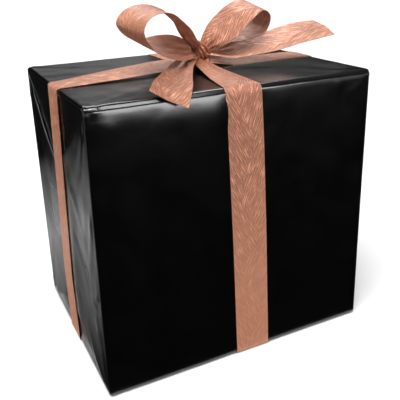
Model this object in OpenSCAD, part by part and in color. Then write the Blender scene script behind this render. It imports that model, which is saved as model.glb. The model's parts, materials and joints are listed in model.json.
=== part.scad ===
// Wrapped gift parcel: a closed carton in folded paper, tied with one wide ribbon and a bow.
// +Z is up, the front face looks along -Y, and the origin is under the middle of the parcel,
// on the plane that the ribbon rests on.

/* [Parcel] */
// Width of the wrapped parcel, from end to end along X
parcel_w = 313; // [305:1:320]
// Depth of the wrapped parcel, front to back along Y
parcel_d = 237; // [232:1:240]
// Height of the wrapped parcel
parcel_h = 300; // [285:1:315]
// Rounding of the paper over the four long edges
edge_r = 5; // [3:0.5:8]

/* [Carton] */
// Thickness of the corrugated board
board_t = 4; // [3:0.5:5]
// Width of the glue tab inside the sleeve
glue_tab_w = 30; // [20:1:40]
// Width of the closing tape
carton_tape_w = 48; // [38:1:60]

/* [Paper] */
// Thickness of one folded layer of wrapping paper
paper_t = 0.6; // [0.4:0.1:0.8]
// Depth of the paper that is folded down and up over each end
end_fold_l = 124; // [100:1:140]
// Height of the seam on the back face
seam_h = 150; // [100:1:200]
// Width of the overlap under the seam
seam_lap = 25; // [15:1:40]
// Thickness of the clear tape
tape_t = 0.3; // [0.2:0.1:0.4]
// Side of the tape patch that closes each end
tape_patch = 60; // [40:1:70]

/* [Ribbon] */
// Width of the ribbon
ribbon_w = 40; // [30:1:42]
// Thickness of the ribbon
ribbon_t = 0.8; // [0.6:0.1:1]
// Smooth steps between two stations of the bow
bow_steps = 6; // [3:1:8]

/* [Knot] */
// Outer radius of the wrap round the middle of the bow
knot_r = 10; // [9:0.5:10.5]
// Width of that wrap
knot_w = 14; // [12:0.5:15]
// Lean of the wrap's axis from upright
knot_lean = 60; // [45:1:75]
// Side of the square half knot on the top face
half_knot = 34; // [28:1:36]

/* [Hidden] */

black = [0.05, 0.05, 0.055];
copper = [0.80, 0.52, 0.40];
board = [0.70, 0.55, 0.38];
clear = [0.85, 0.88, 0.90, 0.4];
parcel_tape = [0.72, 0.58, 0.36];

fit = 0.2;                          // room between the carton and the paper
base_z = ribbon_t;                  // underside of the paper
top_z = base_z + parcel_h;          // top face of the paper
half_w = parcel_w / 2;
half_d = parcel_d / 2;
end_stack = 2 * paper_t;            // two layers of paper on each end
half_rib = ribbon_w / 2;
rib_gap = tape_t + 0.1;             // the strands clear the tape

carton_w = parcel_w - 2 * end_stack - 2 * fit;
carton_d = parcel_d - 4 * paper_t - 2 * fit;
carton_h = parcel_h - 2 * paper_t - 2 * fit - 2 * tape_t;
carton_z = base_z + paper_t + fit + tape_t;
sleeve_z = carton_z + 2 * board_t;
sleeve_h = carton_h - 4 * board_t;
flap_gap = 0.2;                     // room between two flaps that meet
flap_l = carton_d / 2 - flap_gap;   // all flaps are half the depth long

knot_c = [15, 2, top_z + 17.2];     // middle of the knot, where the bow's hinges are

$fn = 48;

// ---------------------------------------------------------------- helpers

module rounded_rect(size, r) {
    square([size[0] - 2 * r, size[1]], center = true);
    square([size[0], size[1] - 2 * r], center = true);
    for (x = [-1, 1], y = [-1, 1])
        translate([x * (size[0] / 2 - r), y * (size[1] / 2 - r)]) circle(r = r);
}

// A plate that stands in the YZ plane, from x = x0, with its outline drawn in (y, z)
module end_plate(x0, t) {
    translate([x0, 0, 0]) rotate([90, 0, 90]) linear_extrude(t) children();
}

// Outline of the wrapped parcel seen from the end, in (y, z)
module end_outline() {
    translate([0, base_z + parcel_h / 2]) rounded_rect([parcel_d, parcel_h], edge_r);
}

// ---------------------------------------------------------------- carton

module carton_sleeve() color(board)
    translate([0, 0, sleeve_z]) linear_extrude(sleeve_h) difference() {
        square([carton_w, carton_d], center = true);
        square([carton_w - 2 * board_t, carton_d - 2 * board_t], center = true);
    }

module carton_glue_tab() color(board)
    translate([carton_w / 2 - board_t - glue_tab_w, carton_d / 2 - 1.5 * board_t, sleeve_z])
        cube([glue_tab_w, board_t / 2, sleeve_h]);

// The short flaps fold first and reach half the depth in from each end
module carton_short_flap(side, z) color(board)
    translate([side > 0 ? carton_w / 2 - flap_l : -carton_w / 2, -carton_d / 2, z])
        cube([flap_l, carton_d, board_t]);

// The long flaps lie over them and meet along the middle. Each bends round its score with the
// board's own thickness as radius. face is 1 on top and -1 underneath.
module carton_long_flap(side, z, face) color(board)
    translate([0, 0, z]) mirror([0, side > 0 ? 0 : 1, 0]) mirror([0, 0, face > 0 ? 0 : 1])
        end_plate(-carton_w / 2, carton_w) {
            translate([flap_gap, 0]) square([flap_l - board_t, board_t]);
            intersection() {
                translate([flap_gap + flap_l - board_t, 0]) circle(r = board_t);
                translate([flap_gap + flap_l - board_t, 0]) square(board_t);
            }
        }

module carton_tape(z) color(parcel_tape)
    translate([-carton_w / 2 + 2, -carton_tape_w / 2, z]) cube([carton_w - 4, carton_tape_w, tape_t]);

// ---------------------------------------------------------------- paper

module paper_sleeve() color(black) {
    end_plate(-half_w + end_stack, parcel_w - 2 * end_stack) difference() {
        end_outline();
        translate([0, base_z + parcel_h / 2])
            rounded_rect([parcel_d - 2 * paper_t, parcel_h - 2 * paper_t], edge_r - paper_t);
    }
    // the lap under the seam
    translate([-half_w + end_stack, half_d - 2 * paper_t, base_z + seam_h - seam_lap])
        cube([parcel_w - 2 * end_stack, 1.5 * paper_t, seam_lap]);
}

module paper_seam_tape() color(clear)
    for (x = [-90, 75])
        translate([x, half_d, base_z + seam_h - seam_lap]) cube([19, tape_t, 2 * seam_lap]);

// Where the front and back folds meet on an end, as (y, z) from the base
meet_top = [10, 208];
meet_low = [5, 44];

module inner_fold(side, from_top) color(black)
    end_plate(side > 0 ? half_w - end_stack : -half_w + paper_t, paper_t) intersection() {
        end_outline();
        translate([-half_d, from_top ? top_z - end_fold_l : base_z]) square([parcel_d, end_fold_l]);
    }

module outer_fold(side, y_sign) color(black)
    end_plate(side > 0 ? half_w - paper_t : -half_w, paper_t) intersection() {
        end_outline();
        translate([0, base_z]) polygon([
            [y_sign * half_d, parcel_h], meet_top, meet_low, [y_sign * half_d, 0]
        ]);
    }

module end_tape(side) color(clear)
    translate([side > 0 ? half_w : -half_w - tape_t, -2, base_z + 115])
        cube([tape_t, tape_patch, tape_patch]);

// ---------------------------------------------------------------- ribbon round the parcel

// The ribbon's full turn round the parcel in the XZ plane, wider than any strand
module strand_shell(outer, height, r)
    rotate([90, 0, 0]) linear_extrude(4 * ribbon_w, center = true) difference() {
        translate([0, height / 2]) rounded_rect([2 * outer, height], r + ribbon_t);
        translate([0, height / 2])
            rounded_rect([2 * (outer - ribbon_t), height - 2 * ribbon_t], r);
    }

// One strand, drawn towards +X: over the top from start, round the edge at reach, down the side
// and round the bottom edge. mid = its centre in Y at the knot, the top edge and the bottom edge.
module strand(reach, r, start, mid) {
    outer = reach + rib_gap + ribbon_t;
    height = top_z + rib_gap + ribbon_t;
    taper = start + 55;
    narrow = 11;
    color(copper) intersection() {
        strand_shell(outer, height, r);
        translate([0, 0, height - 3]) linear_extrude(10) polygon([
            [start, mid[0] - narrow], [taper, mid[0] - half_rib], [reach - r, mid[1] - half_rib],
            [reach - r, mid[1] + half_rib], [taper, mid[0] + half_rib], [start, mid[0] + narrow]
        ]);
    }
    color(copper) intersection() {
        strand_shell(outer, height, r);
        translate([reach - r, 0, 0]) rotate([90, 0, 90]) linear_extrude(r + 5) polygon([
            [mid[1] - half_rib, height], [mid[1] + half_rib, height],
            [mid[2] + half_rib, 0], [mid[2] - half_rib, 0]
        ]);
    }
}

// Centres of the four strands at the knot, the top edge and the bottom edge, and where they start
end_r = rib_gap;                    // crease of the strands over the flat ends
side_r = edge_r + rib_gap;          // bend of the strands over the rounded edges
left_mid = [-2, 10, -8];
right_mid = [2, 6, 2];
front_mid = [14, 0, 11];
back_mid = [-15, -16, -14];
left_start = half_knot / 2 - knot_c[0] + fit;
right_start = half_knot / 2 + knot_c[0] + fit;
front_start = half_knot / 2 - knot_c[1] + fit;
back_start = half_knot / 2 + knot_c[1] + fit;

module ribbon_left() rotate([0, 0, 180]) strand(half_w, end_r, left_start, left_mid);
module ribbon_right() strand(half_w, end_r, right_start, right_mid);
module ribbon_front() rotate([0, 0, -90]) strand(half_d, side_r, front_start, front_mid);
module ribbon_back() rotate([0, 0, 90]) strand(half_d, side_r, back_start, back_mid);

// The two runs under the parcel. Where they cross, each is pressed to half its thickness.
module under_long_outline() {
    x = half_w - end_r;
    polygon([
        [-x, -left_mid[2] - half_rib], [x, right_mid[2] - half_rib],
        [x, right_mid[2] + half_rib], [-x, -left_mid[2] + half_rib]
    ]);
}

module under_short_outline() {
    y = half_d - side_r;
    polygon([
        [front_mid[2] - half_rib, -y], [front_mid[2] + half_rib, -y],
        [-back_mid[2] + half_rib, y], [-back_mid[2] - half_rib, y]
    ]);
}

module ribbon_under_long() color(copper) difference() {
    linear_extrude(ribbon_t) under_long_outline();
    translate([0, 0, ribbon_t / 2]) linear_extrude(ribbon_t) intersection() {
        under_long_outline();
        under_short_outline();
    }
}

module ribbon_under_short() color(copper) difference() {
    linear_extrude(ribbon_t) under_short_outline();
    translate([0, 0, -ribbon_t / 2]) linear_extrude(ribbon_t) intersection() {
        under_long_outline();
        under_short_outline();
    }
}

// ---------------------------------------------------------------- knot

module under_knot() color(copper)
    translate([knot_c[0], knot_c[1], top_z]) linear_extrude(4.8) rounded_rect([half_knot, half_knot], 6);

module knot_turn() translate(knot_c) rotate([0, knot_lean, 0]) children();

knot_hole = knot_r - 4.5;

module knot() color(copper) knot_turn() rotate_extrude()
    translate([(knot_r + knot_hole) / 2, 0]) rounded_rect([knot_r - knot_hole, knot_w], 2);

module knot_core() color(copper) knot_turn() cylinder(r = knot_hole, h = 22, center = true);

// ---------------------------------------------------------------- bow

// A station of a bow piece is [place, direction across the ribbon, half width]. Places are
// measured from the middle of the top face.
left_loop_line = [
    [[4, -4, 27], [0.6, -0.8, 0], 8],
    [[-5, -9, 34], [0.4, -0.9, -0.1], 16],
    [[-20, -19, 54], [0.2, -0.9, -0.3], 20],
    [[-47, -31, 70], [0.3, -0.95, -0.2], 20],
    [[-72, -40, 68], [0.35, -0.9, -0.15], 20],
    [[-82, -41, 53], [0.4, -0.9, -0.2], 20],
    [[-64, -31, 34], [0.3, -0.9, -0.25], 20],
    [[-38, -22, 28], [0.15, -0.8, -0.5], 20],
    [[-18, -14, 25], [0.1, -0.8, -0.6], 16],
    [[1, -5, 19], [-0.1, -0.9, -0.4], 7]
];

right_loop_line = [
    [[22, -5, 28], [0.6, -0.6, -0.5], 8],
    [[28, -8, 34], [0.4, -0.75, -0.55], 16],
    [[42, -10, 45], [0.2, -0.8, -0.5], 20],
    [[56, -12, 57], [0.2, -0.9, -0.4], 20],
    [[74, -12, 65], [0.2, -0.95, -0.25], 20],
    [[87, -9, 58], [0.1, -0.95, -0.3], 20],
    [[85, -3, 41], [0, -0.95, -0.3], 20],
    [[65, 1, 31], [0, -0.95, -0.35], 20],
    [[45, 3, 27], [0.05, -0.9, -0.45], 16],
    [[31, 4, 23], [0.05, -0.85, -0.5], 8]
];

front_tail_line = [
    [[-4, -8, 9], [0.85, -0.5, 0], 9],
    [[-15, -23, 9], [0.85, -0.5, 0.05], 11],
    [[-34, -48, 9], [0.85, -0.5, 0.1], 14],
    [[-52, -77, 7], [0.85, -0.5, 0.05], 17],
    [[-68, -103, 6], [0.8, -0.55, -0.1], 19],
    [[-79, -122, -1], [0.7, -0.6, -0.4], 20]
];

right_tail_line = [
    [[31, -2, 14], [-0.3, -0.9, -0.2], 8],
    [[48, -7, 13], [-0.2, -0.95, -0.2], 15],
    [[73, -15, 19], [-0.25, -0.9, -0.3], 20],
    [[97, -24, 26], [-0.25, -0.85, -0.45], 20],
    [[121, -33, 33], [-0.2, -0.9, -0.45], 20],
    [[150, -42, 38], [0.1, -0.95, -0.3], 20]
];

function unit(v) = v / norm(v);
function at(line, i) = line[max(0, min(len(line) - 1, i))];

// A smooth curve through four neighbours, for places, directions and widths alike
function smooth4(a, b, c, d, t) =
    b + t / 2 * (c - a + t * (2 * a - 5 * b + 4 * c - d + t * (3 * (b - c) + d - a)));

function station(line, i, t) = [for (k = [0:2])
    smooth4(at(line, i - 1)[k], at(line, i)[k], at(line, i + 1)[k], at(line, i + 2)[k], t)];

function stations(line) = concat(
    [for (i = [0:len(line) - 2], s = [0:bow_steps - 1]) station(line, i, s / bow_steps)],
    [at(line, len(line) - 1)]
);

// The four corners of the ribbon's section at one station
function section(s, i) = let (
    along = unit(at(s, i + 1)[0] - at(s, i - 1)[0]),
    across = unit(s[i][1]) * s[i][2],
    up = unit(cross(along, across)) * ribbon_t / 2
) [s[i][0] + across + up, s[i][0] - across + up, s[i][0] - across - up, s[i][0] + across - up];

// A ribbon along a line of stations
module bow_ribbon(line) {
    s = stations(line);
    n = len(s);
    points = [for (i = [0:n - 1]) each section(s, i)];
    sides = [for (i = [0:n - 2], k = [0:3]) let (a = 4 * i + k, b = 4 * i + (k + 1) % 4)
        each [[a, b, b + 4], [a, b + 4, a + 4]]];
    ends = [[2, 1, 0], [3, 2, 0], [4 * n - 4, 4 * n - 3, 4 * n - 2], [4 * n - 4, 4 * n - 2, 4 * n - 1]];
    color(copper) translate([0, 0, top_z]) polyhedron(points, concat(sides, ends));
}

// ---------------------------------------------------------------- the nodes

top_short_z = carton_z + carton_h - 2 * board_t;
top_long_z = carton_z + carton_h - board_t;
bottom_long_z = carton_z + board_t;

carton_sleeve();
carton_glue_tab();
carton_short_flap(-1, top_short_z);  // carton_top_flap_left
carton_short_flap(1, top_short_z);  // carton_top_flap_right
carton_long_flap(-1, top_long_z, 1);  // carton_top_flap_front
carton_long_flap(1, top_long_z, 1);  // carton_top_flap_back
carton_short_flap(-1, bottom_long_z);  // carton_bottom_flap_left
carton_short_flap(1, bottom_long_z);  // carton_bottom_flap_right
carton_long_flap(-1, bottom_long_z, -1);  // carton_bottom_flap_front
carton_long_flap(1, bottom_long_z, -1);  // carton_bottom_flap_back
carton_tape(carton_z + carton_h);  // carton_tape_top
carton_tape(carton_z - tape_t);  // carton_tape_bottom
paper_sleeve();
paper_seam_tape();
inner_fold(-1, true);  // left_end_top_fold
inner_fold(-1, false);  // left_end_bottom_fold
outer_fold(-1, -1);  // left_end_front_fold
outer_fold(-1, 1);  // left_end_back_fold
end_tape(-1);  // left_end_tape
inner_fold(1, true);  // right_end_top_fold
inner_fold(1, false);  // right_end_bottom_fold
outer_fold(1, -1);  // right_end_front_fold
outer_fold(1, 1);  // right_end_back_fold
end_tape(1);  // right_end_tape
ribbon_left();
ribbon_right();
ribbon_front();
ribbon_back();
ribbon_under_long();
ribbon_under_short();
under_knot();
knot();
knot_core();
bow_ribbon(left_loop_line);  // left_loop
bow_ribbon(right_loop_line);  // right_loop
bow_ribbon(front_tail_line);  // front_tail
bow_ribbon(right_tail_line);  // right_tail
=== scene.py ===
# %% [markdown]
# # A gift parcel, wrapped and tied
# The closed carton, its paper, the ribbon and the bow arrive as plain solids that fit together
# and move. This lesson gives each of them its real surface: one sheet of glossy black paper with
# folded ends, one wide copper ribbon pulled tight both ways, and a soft bow tied on top.
# The frame is loaded first, because every place and size that follows is read from it.

# %% Load the frame
import json
import math

import bpy
import numpy as np
from mathutils import Matrix, Vector, noise
from mathutils.bvhtree import BVHTree


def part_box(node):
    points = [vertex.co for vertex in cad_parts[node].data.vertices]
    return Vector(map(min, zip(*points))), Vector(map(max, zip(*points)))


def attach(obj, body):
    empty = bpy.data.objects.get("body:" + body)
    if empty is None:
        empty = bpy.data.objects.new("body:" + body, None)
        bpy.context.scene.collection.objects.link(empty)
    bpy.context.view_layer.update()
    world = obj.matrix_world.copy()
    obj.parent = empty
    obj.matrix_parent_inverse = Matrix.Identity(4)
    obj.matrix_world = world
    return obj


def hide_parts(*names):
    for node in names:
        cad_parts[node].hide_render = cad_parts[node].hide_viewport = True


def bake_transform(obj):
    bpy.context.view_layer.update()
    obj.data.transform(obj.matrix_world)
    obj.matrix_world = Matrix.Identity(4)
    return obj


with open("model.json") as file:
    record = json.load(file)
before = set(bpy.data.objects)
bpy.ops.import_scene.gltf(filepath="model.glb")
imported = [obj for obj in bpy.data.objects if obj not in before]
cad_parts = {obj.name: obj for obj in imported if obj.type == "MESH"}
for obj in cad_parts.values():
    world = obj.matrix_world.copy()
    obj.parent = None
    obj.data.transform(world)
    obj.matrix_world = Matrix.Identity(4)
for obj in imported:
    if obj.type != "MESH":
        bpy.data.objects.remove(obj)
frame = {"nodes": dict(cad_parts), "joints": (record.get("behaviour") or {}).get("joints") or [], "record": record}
bpy.context.view_layer.update()
MM = 0.001

# %% [markdown]
# ## Sizes taken from the frame
# The paper's outer faces, the plane it stands on and the middle of the knot are all in the frame
# already, so they are read and not typed again. Only the ribbon's width and the thicknesses of
# the three thin sheets are given here. Working in millimetres from here on keeps the numbers
# short and easy to judge.

# %% Read the parcel's sizes
right_end_high = np.array(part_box("right_end_front_fold")[1]) / MM
body_low, body_high = (np.array(p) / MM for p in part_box("paper_sleeve"))
HALF_W = float(right_end_high[0])
HALF_D = float(body_high[1])
BASE, TOP = float(body_low[2]), float(body_high[2])
HEIGHT = TOP - BASE
KNOT = np.array(frame["joints"][0]["pos_m"]) / MM
RIBBON_W = 40.0
PAPER_T = 0.4
RIBBON_T = 0.5
TAPE_T = 0.08
print("parcel", 2 * HALF_W, 2 * HALF_D, HEIGHT, "knot", KNOT)

# %% [markdown]
# ## Shader maths in plain Python
# A finish is a recipe of many small nodes. Wiring each one by hand hides the idea, so one small
# class wraps a node's output and lets ordinary arithmetic add the Math nodes. A second class
# holds a material and adds every other kind of node with one method.

# %% Wires
def operator(operation, reflected=False):
    """A method that adds one Math node. Reflected, the wire is the second value, as in 1 - wire."""
    def method(wire, other):
        values = (other, wire) if reflected else (wire, other)
        return wire.math(operation, *values)
    return method


class Wire:
    """One output of a node. Arithmetic on it adds Math nodes."""

    __add__, __radd__ = operator("ADD"), operator("ADD", reflected=True)
    __sub__, __rsub__ = operator("SUBTRACT"), operator("SUBTRACT", reflected=True)
    __mul__, __rmul__ = operator("MULTIPLY"), operator("MULTIPLY", reflected=True)
    __truediv__, __rtruediv__ = operator("DIVIDE"), operator("DIVIDE", reflected=True)

    def __init__(self, sketch, socket):
        self.sketch, self.socket = sketch, socket

    def math(self, operation, *values):
        return self.sketch.add("Math", {"operation": operation}, dict(enumerate(values)))

    def __abs__(self):
        return self.math("ABSOLUTE", self)

    def over(self, edge):
        return self.math("GREATER_THAN", self, edge)

    def sine(self, turns=0.0):
        """The sine of the wire, in radians, started some turns further on."""
        return self.math("SINE", self + turns * math.tau)


print("a wire adds a Math node for", [name for name in vars(Wire) if name.startswith("__r")])

# %% [markdown]
# A sketch is one material. Its add method makes any node: first the settings, because some of
# them change which sockets the node has, then the sockets, each with a value or a wire. The
# few nodes that every finish here needs get a short method of their own.

# %% Sketches
class Sketch:
    """A material's node tree."""

    def __init__(self, name):
        self.material = bpy.data.materials.new(name)
        self.material.use_nodes = True
        self.tree = self.material.node_tree
        self.tree.nodes.clear()

    def add(self, kind, settings=None, sockets=None, out=0):
        node = self.tree.nodes.new("ShaderNode" + kind)
        for key, value in (settings or {}).items():
            if key == "stops":
                ramp = node.color_ramp
                while len(ramp.elements) < len(value):
                    ramp.elements.new(0.5)
                for stop, (place, shade) in zip(ramp.elements, value):
                    stop.position, stop.color = place, shade
            else:
                setattr(node, key, value)
        for key, value in (sockets or {}).items():
            if isinstance(value, Wire):
                self.tree.links.new(value.socket, node.inputs[key])
            else:
                node.inputs[key].default_value = value
        return Wire(self, node.outputs[out])

    def mix(self, factor, a, b):
        return self.add("Mix", {"data_type": "RGBA"}, {0: factor, 6: a, 7: b}, out=2)

    def ramp(self, value, *stops):
        grey = [(p, (v, v, v, 1)) for p, v in stops]
        return self.add("ValToRGB", {"stops": grey}, {0: value})

    def noise(self, vector, scale, detail=3.0, rough=0.5, distortion=0.0):
        return self.add("TexNoise", {}, {"Vector": vector, "Scale": scale, "Detail": detail,
                                         "Roughness": rough, "Distortion": distortion})

    def bump(self, height, strength, distance, normal=None):
        sockets = {"Height": height, "Strength": strength, "Distance": distance}
        if normal is not None:
            sockets["Normal"] = normal
        return self.add("Bump", {}, sockets)

    def finish(self, **sockets):
        named = {key.replace("_", " "): value for key, value in sockets.items()}
        shader = self.add("BsdfPrincipled", {}, named)
        output = self.tree.nodes.new("ShaderNodeOutputMaterial")
        self.tree.links.new(shader.socket, output.inputs["Surface"])
        print("finish", self.material.name, len(self.tree.nodes), "nodes")
        return self.material


# %% [markdown]
# ## The black paper
# Real gift paper of this kind is a thin sheet with a smooth satin-gloss varnish. It is nearly
# black face on and mirrors the room at a low angle. Painting the highlights on would only work
# from one side, so the shine comes from the shader's own Fresnel instead, with the index of a
# plain varnish. Two soft noises tilt the surface a little: a wide one for the sheet's slack and
# a narrow one for its handled look. Faint handling marks and the paper's fibres change the
# roughness. A noise's scale is about its number of bumps in a metre.

# %% Black paper finish
def black_paper():
    s = Sketch("black_paper")
    place = s.add("TexCoord", out=3)
    slack = s.noise(place, 9.0, 2.0, 0.45, 0.6)
    handled = s.noise(place, 55.0, 4.0, 0.55, 0.3)
    marks = s.ramp(s.noise(place, 20.0, 5.0, 0.6, 1.2), (0.35, 0.0), (0.75, 1.0))
    height = slack + handled * 0.05
    fibre = s.noise(place, 1400.0, 2.0, 0.5)
    colour = s.mix(marks, (0.0005, 0.0005, 0.0006, 1), (0.0010, 0.0010, 0.0011, 1))
    return s.finish(
        Base_Color=colour, Roughness=0.17 + marks * 0.05 + fibre * 0.02,
        IOR=1.50, Normal=s.bump(height, 0.35, 0.006))


FINISH = {"black_paper": black_paper()}

# %% [markdown]
# ## The copper ribbon
# The ribbon is a satin with a metallic thread, embossed with fine strokes that lie like the
# barbs of a feather: they slant one way on one side of a wandering middle line and the other way
# on the other side. The raised strokes are painted a lighter colour than the satin between them,
# as painted glints. A slow wave along the ribbon makes the strokes deeper and their painted glints
# stronger 150 mm along a band, near the top of the front strand on the short band, and weaker
# further on: that fade is painted light falling off down the strand. A pattern in space would
# slide over the folds, so each sheet carries its own measure across and along the ribbon, and the
# strokes follow it. Noise that is stretched along the slant draws them.

# %% Ribbon finish
BARB_SLANT = math.radians(24)
FEATHER_WAVE = 0.065       # radians of the middle line's wave in a millimetre
# a slow wave along the ribbon: the strokes are deeper and their painted glints stronger at its start, which is
# painted light that falls off down the front strand
RELIEF_AND_GLINT_WAVE = math.tau / 440
RELIEF_AND_GLINT_START = 150.0


def feather_lay(s, across, along):
    """Noise places that are stretched along the barbs, coarse and fine."""
    wander = s.noise(s.add("CombineXYZ", {}, {0: along * 0.02, 1: 3.0}), 1.0, 1.0) - 0.5
    middle_line = (along * FEATHER_WAVE).sine() * 9.0 + wander * 14.0
    side = (across - middle_line).over(0.0) * 2.0 - 1.0
    cross_way = across * math.cos(BARB_SLANT) + side * along * math.sin(BARB_SLANT)
    long_way = along * math.cos(BARB_SLANT) - side * across * math.sin(BARB_SLANT)
    coarse = s.add("CombineXYZ", {}, {0: cross_way * 1.15, 1: long_way * 0.065, 2: side * 7.0})
    fine = s.add("CombineXYZ", {}, {0: cross_way * 2.3, 1: long_way * 0.12, 2: side * 3.0})
    return coarse, fine


def copper_ribbon():
    s = Sketch("copper_ribbon")
    # in millimetres, across from the ribbon's middle and along from its start
    measure = {"Vector": s.add("UVMap", {"uv_map": "ribbon"})}
    across = s.add("SeparateXYZ", {}, measure, out=0) * 1000.0
    along = s.add("SeparateXYZ", {}, measure, out=1) * 1000.0
    coarse, fine = feather_lay(s, across, along)
    strokes = s.ramp(s.noise(coarse, 1.0, 2.0, 0.5, 0.1), (0.50, 0.0), (0.64, 1.0))
    hairs = s.ramp(s.noise(fine, 1.0, 2.0, 0.5), (0.46, 0.0), (0.62, 1.0))
    relief = strokes * 0.7 + hairs * 0.3
    # the strokes' depth swells and fades along the ribbon, and so do their painted glints: painted light that
    # falls off down the front strand
    relief_and_glint_fade = 0.70 + ((along - RELIEF_AND_GLINT_START) * RELIEF_AND_GLINT_WAVE).sine(0.25) * 0.40
    depth = (relief - 0.3) * relief_and_glint_fade + 0.3
    weave = (along * 9.0).sine() * (across * 9.0).sine()
    cloudy = s.noise(s.add("CombineXYZ", {}, {0: across * 0.05, 1: along * 0.03}), 1.0, 3.0)
    # light is the painted glint colour of the raised strokes and dark is the satin between them; depth mixes the
    # two, so it paints the glints as well as making the relief
    dark, light, worn = (0.25, 0.080, 0.040, 1), (0.90, 0.425, 0.26, 1), (0.55, 0.25, 0.16, 1)
    satin_and_painted_glints = s.mix(depth + cloudy * 0.12 - 0.04, dark, light)
    edge = s.ramp(abs(across) / (RIBBON_W / 2), (0.93, 0.0), (1.0, 1.0))
    normal = s.bump(depth, 1.0, 0.0007, s.bump(weave, 0.12, 0.00012))
    return s.finish(Base_Color=s.mix(edge * 0.35, satin_and_painted_glints, worn), Metallic=0.12 + depth * 0.35,
                    Roughness=0.46 - depth * 0.16, Normal=normal)


FINISH["copper_ribbon"] = copper_ribbon()

# %% [markdown]
# ## Carton board and tapes
# The carton is closed and hidden by the paper, but it is a real brown box, so its board gets
# paper fibres, a faint washboard from the flutes below, and slight blotches. Parcel tape is a
# brown film with fine stretch lines and small bubbles under it. Clear tape is the same film
# without the colour: it is nearly see-through, and shows mostly by its own shine.

# %% Board and tape finishes
FLUTE_PITCH = 7.8 * MM


def carton_board():
    s = Sketch("carton_board")
    place = s.add("TexCoord", out=3)
    fibres = s.noise(place, 260.0, 5.0, 0.6, 0.4)
    blotch = s.noise(place, 12.0, 3.0)
    width_way = s.add("SeparateXYZ", {}, {"Vector": place}, out=0)
    flutes = (width_way * (math.tau / FLUTE_PITCH)).sine()
    colour = s.mix(fibres * 0.6 + blotch * 0.4, (0.36, 0.22, 0.115, 1), (0.56, 0.37, 0.21, 1))
    return s.finish(Base_Color=colour, Roughness=0.72 + fibres * 0.2,
                    Normal=s.bump(flutes * 0.5 + fibres, 0.25, 0.0004))


def tape(name, low, high, alpha, rough):
    s = Sketch(name)
    place = s.add("TexCoord", out=3)
    pulled = s.add("Mapping", {}, {"Vector": place, "Scale": (4.0, 90.0, 400.0)})
    stretch = s.noise(pulled, 1.0, 3.0)
    bubbles = s.ramp(s.noise(place, 150.0, 2.0), (0.55, 0.0), (0.7, 1.0))
    return s.finish(Base_Color=s.mix(stretch, low, high), Roughness=rough + stretch * 0.12,
                    Alpha=alpha + bubbles * (0.1 * (1 - alpha)), IOR=1.47,
                    Normal=s.bump(stretch + bubbles * 0.5, 0.2, 0.0003))


FINISH["carton_board"] = carton_board()
FINISH["parcel_tape"] = tape("parcel_tape", (0.34, 0.2, 0.09, 1), (0.46, 0.29, 0.14, 1), 0.92, 0.22)
FINISH["clear_tape"] = tape("clear_tape", (0.30, 0.31, 0.33, 1), (0.40, 0.42, 0.44, 1), 0.05, 0.2)

# %% [markdown]
# Every part of the frame gets its finish before anything is built round it. The carton is
# closed, but a reader who hides the paper should still find a brown box with its tape. The
# frame's own record says which finish each part takes.

# %% Dress the frame's parts
slot_of = {p["node"]: p["material_slot"] for p in frame["record"]["subparts"]}
for name, node in frame["nodes"].items():
    node.data.materials.clear()
    node.data.materials.append(FINISH[slot_of[name]])
print("dressed", len(slot_of), "nodes")

# %% [markdown]
# ## A sheet with two faces and a rim
# Paper and ribbon are thin sheets, and a sheet in a real scene needs a thickness, or light leaks
# through its edge. A Solidify modifier would do it, but the ribbon's finish also needs to know
# where each point lies across and along the sheet. So a grid of points is the middle of the
# sheet, and the helper offsets it to both sides along its own normal, closes the rim, and
# writes the measure of every corner as it goes.

# %% Normals and measures of a grid
def unit(v):
    v = np.asarray(v, float)
    return v / np.maximum(np.linalg.norm(v, axis=-1, keepdims=True), 1e-12)


def grid_normals(grid, ring=False):
    if ring:
        rows = np.roll(grid, -1, 0) - np.roll(grid, 1, 0)
    else:
        rows = np.gradient(grid, axis=0)
    return unit(np.cross(rows, np.gradient(grid, axis=1)))


def grid_measure(grid):
    """Distance across and along a grid, in metres, with 0 on its middle column."""
    steps_along = np.linalg.norm(np.diff(grid, axis=0), axis=2).mean(1)
    along = np.concatenate([[0], np.cumsum(steps_along)])
    steps = np.linalg.norm(np.diff(grid, axis=1), axis=2)
    across = np.concatenate([np.zeros((len(grid), 1)), np.cumsum(steps, 1)], 1)
    across -= across[:, -1:] / 2
    return np.stack([across * MM, np.repeat(along[:, None], grid.shape[1], 1) * MM], -1)


flat_grid = np.array([[(x, y, 0.0) for x in range(-20, 21)] for y in range(101)])
print("the far corner of a flat 40 by 100 mm grid", grid_measure(flat_grid)[-1, -1], "m")


# %% Sheet helper
SHARP_FOLD = math.radians(50)


def sheet_faces(n, m, ring):
    """Faces of both sides and the rim, over n rows of m points and then the same for the back."""
    back = n * m
    faces = []
    for i in range(n if ring else n - 1):
        here, ahead = i * m, (i + 1) % n * m
        for j in range(m - 1):
            a, b, c, d = here + j, ahead + j, ahead + j + 1, here + j + 1
            faces += [(a, b, c, d), (back + d, back + c, back + b, back + a)]
        for j, turn in ((0, 1), (m - 1, -1)):
            a, b = here + j, ahead + j
            faces.append((a, back + a, back + b, b)[::turn])
    if not ring:
        for i, turn in ((0, -1), (n - 1, 1)):
            for j in range(m - 1):
                a, b = i * m + j, i * m + j + 1
                faces.append((a, back + a, back + b, b)[::turn])
    return faces


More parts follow.
